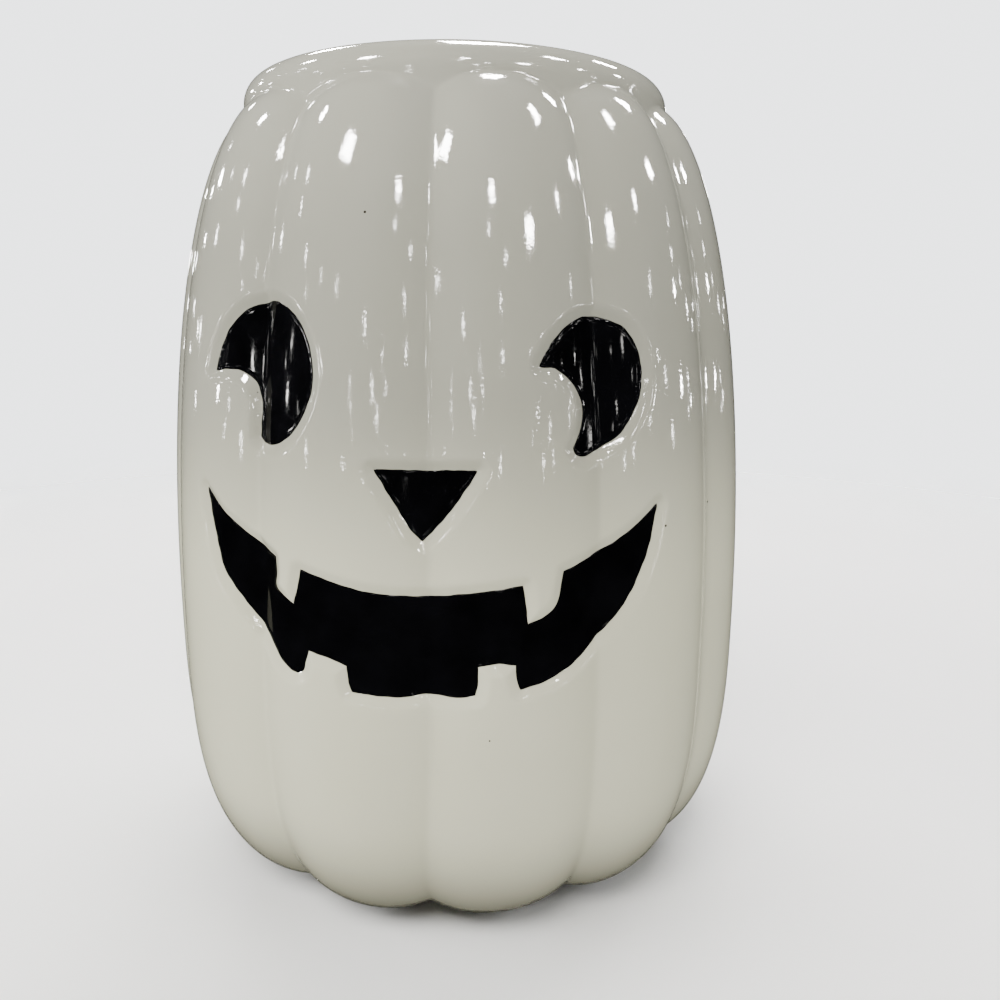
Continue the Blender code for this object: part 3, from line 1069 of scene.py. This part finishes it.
scatter = random.Random(5)
lamps = list(NEAR_LAMPS)
for row, (up, step, wide, tall) in enumerate(FAR_ROWS):
    for count in range(int(360 / step)):
        around = -180 + (count + row % 2 / 2 + scatter.uniform(-0.4, 0.4)) * step
        height = up + scatter.uniform(-0.5, 0.5) * tall
        bigness = scatter.uniform(0.5, 1.5)
        if scatter.random() < FAR_SHARE:
            lamps.append((height, around, wide * bigness, tall * bigness))
print("lamps:", len(NEAR_LAMPS), "near and", len(lamps) - len(NEAR_LAMPS), "far")

# %% Make them one mesh with a strong and a weak face
EVERY_STRONG = 6
NEAR_STRENGTH, FAR_STRENGTH = 260.0, 75.0
LAMP_COLOUR = (1.0, 0.98, 0.95, 1)
NO_COLOUR = (0, 0, 0, 1)


def glow(name, colour, strength):
    """A face that only glows, and isn't counted as a source of light."""
    face, tree, shader = new_finish(name)
    shader.inputs["Base Color"].default_value = NO_COLOUR
    shader.inputs["Emission Color"].default_value = colour
    shader.inputs["Emission Strength"].default_value = strength
    face.cycles.emission_sampling = "NONE"
    return face


def only_mirrored(piece):
    """Leaves the piece visible in reflections alone, as part of the studio."""
    piece.visible_diffuse = False
    piece.visible_camera = False
    piece.visible_shadow = False


panel_points = [corner for lamp in lamps for corner in lamp_panel(*lamp)]
panel_faces = [tuple(range(4 * i, 4 * i + 4)) for i in range(len(lamps))]
ceiling_lamps = piece_from("ceiling_lamps", panel_points, panel_faces)
ceiling_lamps.data.materials.append(glow("near_lamp_face", LAMP_COLOUR, NEAR_STRENGTH))
ceiling_lamps.data.materials.append(glow("far_lamp_face", LAMP_COLOUR, FAR_STRENGTH))
for number, panel in enumerate(ceiling_lamps.data.polygons):
    strong = number < len(NEAR_LAMPS) or number % EVERY_STRONG == 0
    panel.material_index = 0 if strong else 1
only_mirrored(ceiling_lamps)
print("strong lamps:", sum(p.material_index == 0 for p in ceiling_lamps.data.polygons))

# %% A dim ceiling behind the lamps
CEILING_UP = 9
CEILING_COLOUR = (0.8, 0.9, 1.0, 1)
CEILING_STRENGTH = 0.05

ceiling_corners = [(x, y, CEILING_UP) for x, y in ((-40, -60), (40, -60), (40, 30), (-40, 30))]
dim = piece_from("dim_ceiling", ceiling_corners, [(0, 1, 2, 3)])
dim.data.materials.append(glow("dim_ceiling_face", CEILING_COLOUR, CEILING_STRENGTH))
only_mirrored(dim)
print("ceiling:", CEILING_UP, "m up")

# %% [markdown]
# ## The camera
#
# It stands a little to the right of the face's middle, about 0.57 m away and at nearly three
# quarters of the stool's height, looking down by 12 degrees, which is how a person crouching in
# front would see it. That close, the foot looks a good deal smaller than the brow.

# %% Place the camera
CAMERA_ROUND = 4.73
CAMERA_AWAY = 0.5684
CAMERA_UP = 0.334
CAMERA_HEADING = 2.04
CAMERA_DOWN = 12.09
CAMERA_LEAN = 0.3
LENS_MM = 32.4
SENSOR_MM = 36.0

lens = bpy.data.cameras.new("camera")
lens.sensor_width = SENSOR_MM
lens.lens = LENS_MM
lens.clip_start = 0.01
camera = bpy.data.objects.new("camera", lens)
turn = math.radians(CAMERA_ROUND)
camera.location = (CAMERA_AWAY * math.sin(turn), -CAMERA_AWAY * math.cos(turn), CAMERA_UP)
camera.rotation_euler = (math.radians(90 - CAMERA_DOWN), 0, math.radians(CAMERA_HEADING))
camera.rotation_euler.rotate_axis("Z", math.radians(CAMERA_LEAN))
bpy.context.scene.collection.objects.link(camera)
bpy.context.scene.camera = camera
print("camera at", [round(x, 3) for x in camera.location])
